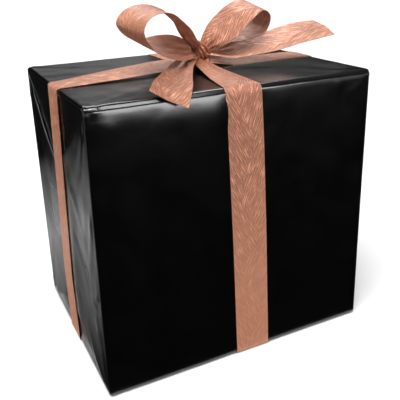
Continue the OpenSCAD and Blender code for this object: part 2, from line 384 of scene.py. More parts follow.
def sheet_piece(name, grid, thick, slot, ring=False, start=0.0):
    """A closed thin piece round a grid of points, in millimetres. start is where its length begins."""
    n, m = grid.shape[:2]
    off = grid_normals(grid, ring) * thick / 2
    points = np.concatenate([(grid + off).reshape(-1, 3), (grid - off).reshape(-1, 3)]) * MM
    mesh = bpy.data.meshes.new(name)
    mesh.from_pydata(points.tolist(), [], sheet_faces(n, m, ring))
    measure = grid_measure(grid).reshape(-1, 2) + [0, start * MM]
    layer = mesh.uv_layers.new(name="ribbon")
    corner = np.zeros(len(mesh.loops), np.int32)
    mesh.loops.foreach_get("vertex_index", corner)
    layer.data.foreach_set("uv", measure[corner % (n * m)].astype(np.float32).ravel())
    mesh.shade_smooth()
    mesh.set_sharp_from_angle(angle=SHARP_FOLD)
    mesh.materials.append(FINISH[slot])
    piece = bpy.data.objects.new(name, mesh)
    bpy.context.scene.collection.objects.link(piece)
    print(name, len(mesh.vertices), "points", len(mesh.polygons), "faces")
    return piece


# %% [markdown]
# Two small shapes come back all through this lesson. A soft step fades one thing into another,
# and ripples are a smooth noise that gives hand-made sheets their unevenness. The noise is
# Blender's own and has no random start, so every run gives the same folds.

# %% Soft step and ripples
def soft_step(x, low, high):
    """0 below low, 1 above high, and an even curve between them."""
    t = np.clip((np.asarray(x, float) - low) / (high - low), 0, 1)
    return t * t * (3 - 2 * t)


def ripples(points, size, seed=0.0):
    """Soft noise from -1 to 1 at points in millimetres, with bumps about size apart."""
    flat = np.asarray(points, float).reshape(-1, 3) / size + seed
    return np.array([noise.noise(Vector(p)) for p in flat]).reshape(np.shape(points)[:-1])


print("half a soft step", soft_step(5, 0, 10), "ripples", ripples(np.eye(3), 2.0).round(3))

# %% [markdown]
# ## The wrapping paper
# One sheet goes round the long faces and is taped down the back, then each end is folded: top
# and bottom first, and the front and back flaps over them, so four diagonal folds meet under
# the ribbon. It could be a subdivided box, but then the folds would only be drawn on. Here the
# sheet is built as it is folded: a tube round the carton, and on each end four flaps that start
# from the tube's own rim, so the corners stay one sheet. Small creases run out of the corners.

# %% The sheet's line round the carton
EDGE_R = 5.0       # bend over the long edges
TIGHT_R = 1.2      # the tightest that the paper bends
END_R = 3.0        # bend over the ends' edges
SEAM_Z = BASE + 150.0
ARC = 4            # steps in half of a corner's bend
STRAIGHT = 4.0     # length of a step along a straight side


def arc(y, z, r, angles):
    return [(y + r * math.cos(a), z + r * math.sin(a)) for a in angles]


def outline(inset):
    """The sheet's line in (y, z) at an inset, in four sides: front, top, back, bottom."""
    r = max(EDGE_R - inset, TIGHT_R)
    near, far = -HALF_D + inset + r, HALF_D - inset - r
    low, high = BASE + inset + r, TOP - inset - r
    corners = [(near, low, 225), (near, high, 135), (far, high, 45), (far, low, -45)]
    sides = []
    for k, (y, z, middle) in enumerate(corners):
        y2, z2, _ = corners[(k + 1) % 4]
        out = math.radians(middle - 45)
        first = arc(y, z, r, [math.radians(middle - 45 * a / ARC) for a in range(ARC)])
        a, b = np.array(arc(y, z, r, [out]) + arc(y2, z2, r, [out]))
        count = int((HEIGHT if k % 2 == 0 else 2 * HALF_D) / STRAIGHT)
        straight = a + (b - a) * np.linspace(0, 1, count + 1)[:, None]
        last = arc(y2, z2, r, [out - math.radians(45 * a / ARC) for a in range(1, ARC + 1)])
        sides.append(np.array(first + straight.tolist() + last))
    return sides


print("points on each side", [len(side) for side in outline(0.0)])

# %% [markdown]
# The sheet's surface is never quite flat. Where it is folded at a corner, short creases fan out
# over the faces. Each one is a soft ridge along a line that fades out at its far end, so a few
# lines are enough for a corner, and they are easy to move.

# %% Creases that fan out of the corners
def crease(points, a, b, width, height):
    """A soft ridge along the line from a to b that fades out towards b."""
    a, b = np.array(a, float), np.array(b, float)
    line = b - a
    t = np.clip(((points - a) @ line) / (line @ line), 0, 1)
    gap = np.linalg.norm(points - a - t[..., None] * line, axis=-1)
    return height * np.exp(-(gap / (width * (0.35 + t))) ** 2) * (1 - t) ** 0.7 * (gap < 4 * width)


LEFT, RIGHT, FRONT, BACK = -HALF_W, HALF_W, -HALF_D, HALF_D
FACE_CREASES = [
    # from, to, width, height: the top front left corner, the most handled one
    ((LEFT, FRONT, TOP), (LEFT + 60, FRONT + 12, TOP), 4, 0.9),
    ((LEFT, FRONT, TOP), (LEFT + 40, FRONT + 32, TOP), 3, -0.5),
    ((LEFT, FRONT, TOP), (LEFT + 75, FRONT + 50, TOP), 6, 0.6),
    ((LEFT, FRONT, TOP - 8), (LEFT + 30, FRONT, TOP - 22), 3, 0.6),
    ((LEFT, FRONT, TOP - 14), (LEFT, FRONT + 14, TOP - 60), 4, 0.6),
    # the top back left corner
    ((LEFT, BACK, TOP), (LEFT + 70, BACK - 45, TOP), 7, 0.6),
    ((LEFT, BACK, TOP), (LEFT + 35, BACK - 50, TOP), 4, -0.5),
    # the top front right corner
    ((RIGHT, FRONT, TOP), (RIGHT - 50, FRONT + 22, TOP), 5, 0.7),
    ((RIGHT, FRONT, TOP - 4), (RIGHT - 34, FRONT, TOP - 26), 3, 0.6),
    ((RIGHT - 6, FRONT, TOP - 4), (RIGHT - 50, FRONT, TOP - 12), 3, 0.5),
    ((RIGHT - 42, FRONT, TOP - 6), (RIGHT - 46, FRONT, TOP - 44), 3, 0.5),
    # the bottom front corners, and the top back right corner
    ((LEFT, FRONT, BASE), (LEFT + 22, FRONT, BASE + 40), 5, 0.5),
    ((RIGHT, FRONT, BASE), (RIGHT - 30, FRONT, BASE + 30), 5, 0.4),
    ((RIGHT, BACK, TOP), (RIGHT - 60, BACK - 30, TOP), 6, 0.5),
]


def puckers(points):
    return sum(crease(points, *line) for line in FACE_CREASES)


print("creases on the long faces", len(FACE_CREASES))

# %% [markdown]
# The rest of the sheet's stand-off is a sum of small, separate causes: slow waves, a sag in the
# middle of the upright faces, a crumpled corner where fingers pressed, slack paper that bulges
# under the top front edge, and a step at the seam. Each is one short function, so that it can
# be switched off to see what it does. The ribbon presses the sheet flat, so it calms the waves.

# %% How the sheet stands off the carton
SLACK_DEPTH = 24           # how far under the top edge the slack stands out most
SLACK_FADE = 90            # over what depth it fades below that
SLACK_AT = [LEFT, -90, -20, 20, 60, RIGHT]
SLACK_HEIGHT = [2.0, 2.4, 3.1, 1.2, 0.6, 0.5]
CRUMPLE_REACH = 15
SEAM_STEP = 0.5            # how far the lower lip lies behind the upper one
SAG = 0.25


def waves(points, on_top):
    wide = 0.32 * ripples(points * [0.5, 1, 1], 62.0) + 0.12 * ripples(points, 19.0, 5.0)
    return wide + 0.6 * on_top * ripples(points * [0.6, 1, 1], 38.0, 3.0)


def crumpled_corner(points):
    gap = np.linalg.norm(points - np.array([LEFT, FRONT, TOP]), axis=-1)
    return np.exp(-(gap / CRUMPLE_REACH) ** 2) * (0.6 + 1.8 * ripples(points, 6.5, 9.0))


def slack_bulge(x, y, z):
    depth = TOP - z
    rising = 1 - (1 - depth / SLACK_DEPTH) ** 2
    falling = np.exp(-((depth - SLACK_DEPTH) / SLACK_FADE) ** 2)
    slack = np.clip(np.where(depth < SLACK_DEPTH, rising, falling), 0, 1)
    beside_band = 1 - np.exp(-((x - 4) / 27) ** 4)
    height = np.interp(x, SLACK_AT, SLACK_HEIGHT)
    return height * slack * beside_band * (y < FRONT + 0.5) * soft_step(HALF_W - np.abs(x), 0, 14)


def standoff(points):
    """Outward offset of the sheet on the long faces."""
    x, y, z = points[..., 0], points[..., 1], points[..., 2]
    on_top = z > TOP - 1
    under_bands = np.maximum(np.exp(-(y / 34) ** 4) * on_top, np.exp(-((x - 8) / 36) ** 4))
    calm = 1 - 0.8 * under_bands
    seam = -SEAM_STEP * (y > BACK - 0.5) * (z < SEAM_Z) * soft_step(z, SEAM_Z - 90, SEAM_Z - 5)
    sag = SAG * np.sin(np.pi * np.clip((z - BASE) / HEIGHT, 0, 1)) * (np.abs(y) > HALF_D - 1)
    return ((waves(points, on_top) - sag + puckers(points)) * calm + crumpled_corner(points)
            + seam + slack_bulge(x, y, z))


slackest = np.array([[-20.0, FRONT, TOP - SLACK_DEPTH]])
print("the slack stands out", standoff(slackest).round(2), "mm")

# %% [markdown]
# The tube is the sheet's line round the carton, carried from end to end as a row of rings. At
# each end the rings close in over a small quarter bend, so the sheet turns over the carton's
# edge before it is folded. The stand-off is measured on the full-size ring and fades out over
# the bend. The seam's two lips are pressed together, so the ring stays closed there and only
# takes a step.

# %% Build the tube
BEND_STEPS = 6
FACE_RINGS = 76
SEAM_GAP = 0.15            # half of the distance between the seam's two lips


def tube_rings():
    """The x of each ring from the left end to the right end, and how far it is set in."""
    turn = np.linspace(0, math.pi / 2, BEND_STEPS)
    left = [(LEFT + END_R * (1 - math.sin(a)), END_R * (1 - math.cos(a))) for a in turn[::-1]]
    near_end = [(LEFT + END_R + x, 0.0) for x in (2, 4, 7, 10)]
    middle = np.linspace(LEFT + END_R + 14, RIGHT - END_R - 14, FACE_RINGS)
    mirrored = [(-x, inset) for x, inset in (left + near_end)[::-1]]
    return left + near_end + [(x, 0.0) for x in middle] + mirrored


def seam_line(line):
    """Moves the two points nearest the seam to either side of it."""
    k = int(np.argmin(abs(line[:, 1] - SEAM_Z)))
    line = line.copy()
    line[k, 1] = SEAM_Z + SEAM_GAP
    line[k + 1, 1] = SEAM_Z - SEAM_GAP
    return line


def ring_points(x, inset):
    lines = outline(inset)
    lines[2] = seam_line(lines[2])
    ring = np.concatenate([line[:-1] for line in lines])
    return np.column_stack([np.full(len(ring), x), ring])


def wrapping_tube():
    places = tube_rings()
    rings = np.array([ring_points(x, inset) for x, inset in places])
    flat = np.array([ring_points(x, 0.0) for x, _ in places])
    grid = rings.transpose(1, 0, 2)
    normals = grid_normals(grid, ring=True)
    out = unit(grid - [0, 0, BASE + HEIGHT / 2]) * [0, 1, 1]
    normals *= np.sign((normals * out).sum(-1, keepdims=True).mean())
    lift = standoff(flat.transpose(1, 0, 2))
    fade = np.array([1 - inset / END_R for _, inset in places])
    return grid + normals * (lift * fade)[..., None]


tube = wrapping_tube()
print("tube grid", tube.shape)

paper = sheet_piece("wrapping_paper", tube, PAPER_T, "black_paper", ring=True)
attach(paper, "parcel")
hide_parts("paper_sleeve")

# %% [markdown]
# Each flap starts from the tube's own rim, so no gap shows at the edge. On a real parcel the
# top and bottom flaps go in first, and the front and back ones are folded over them into wedges
# that meet along one upright line. A flap is a row of copies of the rim that close in on its
# far line, and the copies lie nearer each other beside the rim, where the paper bends most.

# %% Where the flaps start and meet
MEET_TOP = np.array([10.0, BASE + 208])     # ends of the line where the outer flaps meet, in (y, z)
MEET_LOW = np.array([5.0, BASE + 44])
INNER_REACH = 121.0
NEAR_RIM = [0, 0.012, 0.025, 0.04, 0.06]
FLAP_ROWS = np.concatenate([NEAR_RIM, np.linspace(0.09, 0.96, 30), [0.98, 1.0]])
FRONT_SIDE, TOP_SIDE, BACK_SIDE, BOTTOM_SIDE = range(4)
side_starts = np.concatenate([[0], np.cumsum([len(line) - 1 for line in outline(0.0)])])


def rim_of(side, k):
    """The tube's rim along one of its four sides, at the left (-1) or the right (1) end."""
    rim = tube[:, 0 if side < 0 else -1]
    index = np.arange(side_starts[k], side_starts[k + 1] + 1) % len(rim)
    return rim[index]


print("points along the rim's sides", [len(rim_of(-1, k)) for k in range(4)])

# %% [markdown]
# The outer flaps are handled most, so they carry long soft folds that run out of the corners.
# They are the same kind of crease as on the long faces. The ribbon and the tape press them flat,
# and beside the ribbon the slack that they push aside stands up as a low ridge.

# %% Folds in the outer flaps
FOLD_GAIN = 2.0            # every fold's height is multiplied by this
FLAP_FOLDS = [
    # from, to, width, height, in (y, z): the front flap's upper corner
    ((FRONT, TOP), (FRONT + 40, TOP - 150), 9, 1.2),
    ((FRONT + 4, TOP - 20), (FRONT + 80, TOP - 130), 7, -0.7),
    # the front flap's lower corner
    ((FRONT, BASE), (FRONT + 28, BASE + 120), 8, 1.3),
    ((FRONT + 8, BASE + 60), (FRONT + 30, BASE + 150), 8, -0.7),
    ((FRONT, BASE + 2), (FRONT + 70, BASE + 52), 6, 0.9),
    ((FRONT + 10, BASE + 110), (FRONT + 75, BASE + 60), 8, 0.8),
    # the back flap
    ((BACK, TOP), (BACK - 34, TOP - 170), 9, 1.1),
    ((BACK, TOP - 30), (BACK - 60, TOP - 120), 7, -0.6),
    ((BACK, BASE), (BACK - 40, BASE + 120), 8, 0.9),
    # soft folds across the middle of the front flap
    ((FRONT + 68, BASE + 200), (FRONT + 6, BASE + 100), 11, 0.9),
    ((FRONT, BASE + 106), (FRONT + 76, BASE + 60), 9, -0.9),
    ((FRONT + 72, BASE + 150), (FRONT + 20, BASE + 84), 7, -0.7),
    ((FRONT + 4, BASE + 200), (FRONT + 40, BASE + 90), 8, 0.8),
]
STRAND_Z = [BASE, BASE + 80, BASE + 195, TOP]
STRAND_Y = [7.0, 10.0, -2.0, -10.0]
FAR_STRAND_Y = 4.0


def strand_y(z, side):
    """The ribbon's middle on an end at a height."""
    return np.interp(z, STRAND_Z, STRAND_Y) if side < 0 else FAR_STRAND_Y


def end_calm(y, z, side):
    """1 where the flap is free, and less where the ribbon or the tape presses on it."""
    under_band = np.exp(-((y - strand_y(z, side)) / 27) ** 4)
    across_tape = soft_step(y, -12, -2) * (1 - soft_step(y, 58, 70))
    up_tape = soft_step(z, BASE + 100, BASE + 115) * (1 - soft_step(z, BASE + 176, BASE + 190))
    return 1 - np.maximum(under_band, across_tape * up_tape)


def end_folds(y, z, side):
    """How far the outer flaps stand off where nothing presses on them."""
    points = np.stack([y, z], -1)
    total = 1.1 * ripples(np.stack([y, z, y * 0 + side * 40], -1), 44.0, 2.0)
    total = total + 0.25 * ripples(np.stack([y, z, y * 0 + side * 20], -1), 14.0, 6.0)
    for start, end, width, height in FLAP_FOLDS:
        total = total + crease(points, start, end, width, height * FOLD_GAIN)
    reach = soft_step(z, BASE + 20, BASE + 60) * (1 - soft_step(z, BASE + 200, BASE + 230))
    ridge = np.exp(-((y - strand_y(z, side) + 36) / 13) ** 2)
    return total + 1.7 * reach * ridge


print("folds on each end", len(FLAP_FOLDS))

# %% [markdown]
# An outer flap's long edges are folded edges. Paper springs back from a fold, so they stand a
# little proud of the flap beneath, and they roll over at the very edge. The back flap's lower
# edge is the loosest one.

# %% Outer flaps
SPRING, SPRING_WIDTH = 1.1, 16     # how far a folded edge stands proud, and over what width
LOOSE, LOOSE_WIDTH = 1.6, 10       # the same for the back flap's loose lower edge
ROLL, ROLL_WIDTH = 0.65, 1.3       # how far the very edge rolls back
END_ROLL = 0.5


def outer_flap(side, k):
    rim = rim_of(side, k)
    ends = (MEET_LOW, MEET_TOP) if k == FRONT_SIDE else (MEET_TOP, MEET_LOW)
    span = np.concatenate([[0], np.cumsum(np.linalg.norm(np.diff(rim, axis=0), axis=1))])
    along = span / span[-1]
    eased = 0.5 - 0.5 * np.cos(math.pi * along)
    rows = []
    for b in FLAP_ROWS:
        u = along + (eased - along) * soft_step(b, 0.0, 0.3)
        start = np.stack([np.interp(u, along, rim[:, i]) for i in (1, 2)], -1)
        meet = ends[0] + (ends[1] - ends[0]) * u[:, None]
        place = start + (meet - start) * b
        y, z = place[:, 0], place[:, 1]
        edge = np.minimum(u, 1 - u) * np.linalg.norm(place[-1] - place[0])
        calm = end_calm(y, z, side)
        settle = soft_step(b, 0.0, 0.05)
        spring = SPRING * np.exp(-(edge / SPRING_WIDTH) ** 2) * soft_step(b, 0.02, 0.3)
        loose = (k == BACK_SIDE) * LOOSE * np.exp(-(edge / LOOSE_WIDTH) ** 2) * (z < BASE + 120)
        loose = loose * soft_step(b, 0.01, 0.1)
        roll = -ROLL * np.exp(-(edge / ROLL_WIDTH) ** 2) * soft_step(b, 0.0, 0.04)
        roll = roll - END_ROLL * np.exp(-((1 - b) * 100 / 1.5) ** 2)
        lift = ((end_folds(y, z, side) + spring + loose) * calm + 0.1) * settle + roll
        x = side * (HALF_W + lift)
        x = rim[:, 0] + (x - rim[:, 0]) * soft_step(b, 0.0, 0.02)
        rows.append(np.column_stack([x, y, z]))
    return np.array(rows)


print("a front flap's grid", outer_flap(-1, FRONT_SIDE).shape)

# %% [markdown]
# The inner flaps go straight across from the rim and drop behind the outer ones at once, so that
# the sheets lie in the order in which they were folded. Creases run out of their upper corners.

# %% Inner flaps
INNER_DROP = 0.75          # how far an inner flap lies behind the rim


def inner_flap(side, k):
    rim = rim_of(side, k)
    reach = INNER_REACH if k == TOP_SIDE else -INNER_REACH
    y = rim[:, 1]
    rows = []
    for b in FLAP_ROWS:
        z = rim[:, 2] - reach * b
        wave = 0.35 * ripples(np.column_stack([y, z, y * 0 + side * 9]), 40.0, 7.0) - 0.35
        points = np.column_stack([y, z])
        fan = crease(points, (FRONT, TOP), (FRONT + 90, TOP - 70), 5, -0.6)
        fan = fan + crease(points, (BACK, TOP), (BACK - 80, TOP - 90), 5, 0.5)
        drop = INNER_DROP * soft_step(b, 0.0, 0.06)
        x = rim[:, 0] - side * (drop - (wave * 0.4 + fan * 0.6) * soft_step(b, 0.02, 0.1))
        rows.append(np.column_stack([x, y, z]))
    return np.array(rows)


# %% Make the flaps
ENDS = ((-1, "left"), (1, "right"))
FLAPS = ((FRONT_SIDE, "front", outer_flap), (TOP_SIDE, "top", inner_flap),
         (BACK_SIDE, "back", outer_flap), (BOTTOM_SIDE, "bottom", inner_flap))
end_pieces = {"left": [], "right": []}
for side, end in ENDS:
    for k, part, shape in FLAPS:
        flap = sheet_piece(f"paper_{end}_{part}_flap", shape(side, k), PAPER_T, "black_paper")
        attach(flap, "parcel")
        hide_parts(f"{end}_end_{part}_fold")
        end_pieces[end].append(flap)

# %% [markdown]
# Clear tape holds the flaps. Real tape follows the paper it is pressed on, so each strip is laid
# down from outside until it meets the sheet, and then smoothed, because the film is stiffer than
# a fold.

# %% Clear tape on the ends
TAPE_OVER = 0.12           # middle of the film over the paper
FROM_OUTSIDE = 30.0
SMOOTHING_ROUNDS = 3


def sheet_reach(end, side, ys, zs):
    """How far out the flaps stand at each y and z, found with rays from outside."""
    verts, faces = [], []
    for flap in end_pieces[end]:
        faces += [[v + len(verts) for v in f.vertices] for f in flap.data.polygons]
        verts += [v.co.copy() for v in flap.data.vertices]
    tree = BVHTree.FromPolygons(verts, faces)
    reach = np.zeros((len(zs), len(ys)))
    for i, z in enumerate(zs):
        for j, y in enumerate(ys):
            start = Vector((side * (HALF_W + FROM_OUTSIDE), y, z)) * MM
            hit = tree.ray_cast(start, Vector((-side, 0, 0)))[0]
            reach[i, j] = side * hit.x / MM
    return reach


def lay_tape(end, side, node):
    low, high = (np.array(p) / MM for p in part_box(node))
    ys, zs = np.linspace(low[1], high[1], 25), np.linspace(low[2], high[2], 41)
    reach = sheet_reach(end, side, ys, zs)
    for _ in range(SMOOTHING_ROUNDS):
        padded = np.pad(reach, 1, mode="edge")
        around = (padded[:-2, 1:-1] + padded[2:, 1:-1] + padded[1:-1, :-2] + padded[1:-1, 2:]) / 4
        reach = np.maximum(reach, (reach + around) / 2)
    across, up = np.meshgrid(ys, zs)
    grid = np.stack([side * (reach + TAPE_OVER), across, up], -1)
    film = sheet_piece(f"tape_{end}_film", grid, TAPE_T, "clear_tape")
    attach(film, "parcel")
    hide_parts(node)


for side, end in ENDS:
    lay_tape(end, side, f"{end}_end_tape")

# %% [markdown]
# ## The ribbon round the parcel
# The ribbon passes round the parcel both ways and crosses underneath. A real one is woven flat
# and only bends, so it is drawn as a flat strip carried along a path. A curve with a bevel would
# twist and stretch it, so the path is a few corner points with a bend at each, and every point
# also says how wide the ribbon is there and how far it leans. Near the knot it is gathered, so
# it gets narrower and takes a lengthwise crease.

# %% Paths with bends
BEND_POINTS = 7


def bent_path(stops, step=3.0):
    """Rows of numbers that start with x, y, z and a bend, joined with rounded corners."""
    stops = np.array(stops, float)
    path = [stops[0]]
    for i in range(1, len(stops) - 1):
        here, bend = stops[i], stops[i][3]
        before, after = stops[i - 1], stops[i + 1]
        a = here + (before - here) * min(bend / np.linalg.norm((before - here)[:3]), 0.49)
        b = here + (after - here) * min(bend / np.linalg.norm((after - here)[:3]), 0.49)
        for t in np.linspace(0, 1, BEND_POINTS):
            path.append((1 - t) ** 2 * a + 2 * t * (1 - t) * here + t ** 2 * b)
    path.append(stops[-1])
    full = [path[0]]
    for p in path[1:]:
        gap = np.linalg.norm((p - full[-1])[:3])
        count = max(int(gap / step), 1)
        full += [full[-1] + (p - full[-1]) * s / count for s in range(1, count + 1)]
    return np.array(full)


def strip(path, across, fold, columns=17):
    """A strip along a path. across is its direction, and fold(u, row) its height over its width."""
    place, lean, half = path[:, :3], np.radians(path[:, 4]), path[:, 5]
    ahead = unit(np.gradient(place, axis=0))
    side = unit(across - ahead * (ahead @ np.array(across, float))[:, None])
    up = np.cross(side, ahead)
    side, up = (side * np.cos(lean)[:, None] + up * np.sin(lean)[:, None],
                up * np.cos(lean)[:, None] - side * np.sin(lean)[:, None])
    u = np.linspace(-1, 1, columns)
    height = np.array([fold(u, row) for row in path])
    return (place[:, None] + side[:, None] * (half[:, None] * u)[..., None]
            + up[:, None] * height[..., None])


def path_length(path):
    """Length along a row of points in millimetres, in metres."""
    return float(np.linalg.norm(np.diff(path[:, :3], axis=0), axis=1).sum()) * MM


def gathered(u, row):
    """Height over a gathered ribbon's width: a lengthwise crease, and edges that cup up."""
    crease_depth, cup = row[6], row[7]
    ridge = crease_depth * (1 - 1.6 * np.abs(u - 0.15))
    return ridge + cup * u * u + 0.25 * crease_depth * np.sin(7 * u)


def ribbon_band(name, stops, across):
    path = bent_path(stops)
    grid = strip(path, across, gathered)
    print(name, round(path_length(path), 3), "m")
    return grid, path_length(path)


print("ribbon", RIBBON_W, "mm wide")

# %% [markdown]
# The long band runs from the knot to the left, down that end, underneath and up the right end
# back to the knot. On the left end it wanders towards the back lower down, as a band does that
# was pulled tight by hand.

# %% The long band, round the ends
GAP = 0.85          # middle of the ribbon over the paper
UNDER = 0.42        # middle of the ribbon over the ground, under the parcel
LONG_STOPS = [
    # x, y, z, bend, lean, half width, crease, cup
    (2, 1, TOP + 9, 0, 4, 12, 2.4, 0),
    (-30, -2, TOP + 8, 10, 6, 18, 2.0, 0),
    (-90, -7, TOP + 4.6, 12, 3, 20, 1.3, 0),
    (-140, -10, TOP + 1.4, 8, 0, 18.5, 0.3, 0),
    (-HALF_W - GAP, -11, TOP + GAP, 3.6, 0, 17.5, 0.2, 0),
    (-HALF_W - GAP, -2, BASE + 195, 14, 0, 17, 0.0, 0.5),
    (-HALF_W - GAP, 10, BASE + 80, 14, 0, 17, 0.0, 0.5),
    (-HALF_W - GAP, 7, UNDER, 2.6, 0, 18, 0, 0),
    (HALF_W + GAP, 2, UNDER, 2.6, 0, 20, 0, 0),
    (HALF_W + GAP, 5, TOP + GAP, 3.6, 0, 20, 0.2, 0),
    (100, 5, TOP + 1.2, 12, 0, 20, 0.5, 0),
    (52, 3, TOP + 2.6, 10, 4, 17, 1.4, 0),
    (24, 2, TOP + 8, 0, 8, 9, 2.2, 0),
]
long_grid, long_length = ribbon_band("long band", LONG_STOPS, (0, 1, 0))
long_band = sheet_piece("ribbon_long_band", long_grid, RIBBON_T, "copper_ribbon")
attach(long_band, "parcel")
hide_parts("ribbon_left", "ribbon_right", "ribbon_under_long")

# %% [markdown]
# The short band goes round the other way: from the knot down the front, underneath and up the
# back. The tight pull takes it slightly askew down the front. Where it crosses the long band
# underneath, it lies on the parcel's side of it, so it is lifted there a little.

# %% The short band, over the front and back
CROSSING_LIFT = 0.35
CROSSING_Y, CROSSING_HALF = 4, 26
SHORT_STOPS = [
    # x, y, z, bend, lean, half width, crease, cup
    (11, -7, TOP + 8, 0, 8, 12, 2.2, 0),
    (11, -34, TOP + 4.0, 12, 6, 15.5, 1.6, 0),
    (7, -70, TOP + 1.5, 12, 2, 18.5, 0.8, 0),
    (0, -HALF_D - GAP, TOP + GAP, 8.5, 0, 20, 0.15, 0),
    (3, -HALF_D - GAP, BASE + 245, 20, 0, 20, 0, 0.15),
    (7, -HALF_D - GAP, BASE + 140, 20, 0, 20, 0, 0.15),
    (11, -HALF_D - GAP, UNDER, 5, 0, 20, 0, 0),
    (14, HALF_D + GAP, UNDER, 5, 0, 20, 0, 0),
    (16, HALF_D + GAP, TOP + GAP, 8.5, 0, 20, 0.15, 0),
    (16, 60, TOP + 1.8, 12, -3, 19, 0.8, 0),
    (15, 16, TOP + 7, 0, -8, 10, 2.0, 0),
]
short_grid, short_length = ribbon_band("short band", SHORT_STOPS, (-1, 0, 0))
underneath = short_grid[..., 2] < 1.2
crossing = underneath & (abs(short_grid[..., 1] - CROSSING_Y) < CROSSING_HALF)
short_grid[..., 2] += np.where(crossing, CROSSING_LIFT, 0.0)
short_band = sheet_piece("ribbon_short_band", short_grid, RIBBON_T, "copper_ribbon")
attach(short_band, "parcel")
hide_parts("ribbon_front", "ribbon_back", "ribbon_under_short")

# %% [markdown]
# ## The bow
# A bow is the same ribbon, folded into two loops and held in the middle. Cloth simulation could
# drape it, but a bow's shape comes from how it was tied and pulled, which no simulation knows.
# So each loop is drawn as a sheet through a few stations: the place of its middle, the
# direction across it, its half width, and how deep its gathers and its lengthwise fold are. A
# smooth curve joins them. The gathers fade out with the distance from the knot.

# %% Sheets through stations
STATION_STEPS = 8
BOW_COLUMNS = 25
CUT_ROWS = 11              # rows over which a tail runs out into its slanted cut
BEND_FROM, BEND_TO = 3, 24


def smooth_rows(rows):
    """A Catmull-Rom curve through rows of numbers."""
    rows = np.array(rows, float)
    padded = np.concatenate([rows[:1], rows, rows[-1:]])
    out = []
    for i in range(len(rows) - 1):
        a, b, c, d = padded[i:i + 4]
        for t in np.arange(STATION_STEPS) / STATION_STEPS:
            cubic = 2 * a - 5 * b + 4 * c - d + t * (3 * (b - c) + d - a)
            out.append(b + t / 2 * (c - a + t * cubic))
    return np.array(out + [rows[-1]])


def bow_sheet(stations, pleats=3.5, phase=0.0, cut=(0, 0, 0)):
    """Rows: x, y, z from the top face's middle, direction across, half width, gather, fold.
    cut is how far the last edge runs on at its first side, its middle and its second side."""
    rows = smooth_rows(stations)
    place = rows[:, :3] + [0, 0, TOP]
    ahead = unit(np.gradient(place, axis=0))
    side = unit(rows[:, 3:6])
    side = unit(side - ahead * (side * ahead).sum(1, keepdims=True))
    up = np.cross(side, ahead)
    u = np.linspace(-1, 1, BOW_COLUMNS)
    half, gather, fold = rows[:, 6:7], rows[:, 7:8], rows[:, 8:9]
    height = gather * np.sin(u * math.pi * pleats + phase) + fold * (1 - 2 * np.abs(u) ** 1.3)
    last = len(rows) - 1
    near_end = soft_step(np.arange(len(rows)), last - CUT_ROWS, last)
    run_on = np.interp(u, [-1, 0, 1], cut) * near_end[:, None]
    return (place[:, None] + side[:, None] * (half * u)[..., None] + up[:, None] * height[..., None]
            + ahead[:, None] * run_on[..., None])


def bow_piece(body, grid, start):
    """A loop or a tail, made from its grid, that takes the place of the frame's part of the same name."""
    middle = grid[:, BOW_COLUMNS // 2]
    piece = sheet_piece(f"bow_{body}", grid, RIBBON_T, "copper_ribbon", start=start)
    way = unit(middle[len(grid) // 2] - KNOT)
    bend_start, bend_end = (tuple((KNOT + way * gap) * MM) for gap in (BEND_FROM, BEND_TO))
    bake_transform(piece)
    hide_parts(body)
    print(body, round(path_length(middle), 3), "m")


print("bow pieces bend from", BEND_FROM, "to", BEND_TO, "mm from the knot's middle")

# %% [markdown]
# The left loop goes up and out, turns over its top and comes back lower down. The right loop
# does the same on its own side and is smaller. In both, the rows start and end at the knot, and
# the half width grows from the gathers to the full ribbon within a few rows.

# %% The loops
LOOP_START = 130           # where a loop lies along its ribbon, which moves the pattern on
left_loop = bow_sheet([
    (12, 1, 17, 0.8, -0.6, 0, 5, 0.8, 0),
    (4, -4, 27, 0.6, -0.8, 0, 7, 0.8, 0.6),
    (-6, -9, 35, 0.4, -0.9, -0.1, 11, 0.5, 2.2),
    (-22, -19, 54, 0.22, -0.92, -0.3, 17, 0.1, 2.4),
    (-47, -31, 69, 0.3, -0.94, -0.18, 20, 0, 0.5),
    (-72, -40, 67.5, 0.35, -0.93, -0.14, 20, 0, 0),
    (-82, -41, 53, 0.38, -0.91, -0.16, 20, 0, 0),
    (-64, -31, 34, 0.28, -0.93, -0.24, 20, 0, -0.3),
    (-37, -22, 28, 0.17, -0.82, -0.55, 20, 0.2, -1.2),
    (-18, -14, 25.5, 0.08, -0.78, -0.62, 18, 0.8, -1.2),
    (-5, -9, 22.5, 0.0, -0.85, -0.5, 14, 1.6, -0.8),
    (5, -1, 15, -0.1, -0.9, -0.4, 7, 1.2, 0),
    (13, 2, 13, -0.2, -0.9, -0.3, 5, 1.0, 0),
])
right_loop = bow_sheet([
    (17, 0, 18, 0.7, -0.6, -0.4, 5, 1.0, 0),
    (22, -5, 28, 0.6, -0.6, -0.5, 9.5, 0.7, 0.5),
    (28, -8, 34, 0.4, -0.75, -0.55, 15, 0.45, 1.0),
    (42, -10, 45, 0.22, -0.83, -0.5, 20, 0.15, 0.8),
    (56, -12, 57, 0.2, -0.88, -0.43, 20, 0, 0.3),
    (74, -12, 65, 0.2, -0.95, -0.24, 20, 0, 0),
    (87, -9, 58, 0.1, -0.94, -0.3, 20, 0, 0),
    (85, -3, 41, 0, -0.95, -0.3, 20, 0, 0),
    (65, 5, 33, 0, -0.94, -0.35, 17, 0, -0.4),
    (45, 8, 30, 0.04, -0.9, -0.45, 12, 0.5, -0.6),
    (31, 5, 25.5, 0.05, -0.85, -0.5, 12, 0.8, 0),
    (18, 3, 18, 0.05, -0.85, -0.5, 7, 1.0, 0),
])
bow_piece("left_loop", left_loop, LOOP_START)
bow_piece("right_loop", right_loop, LOOP_START)

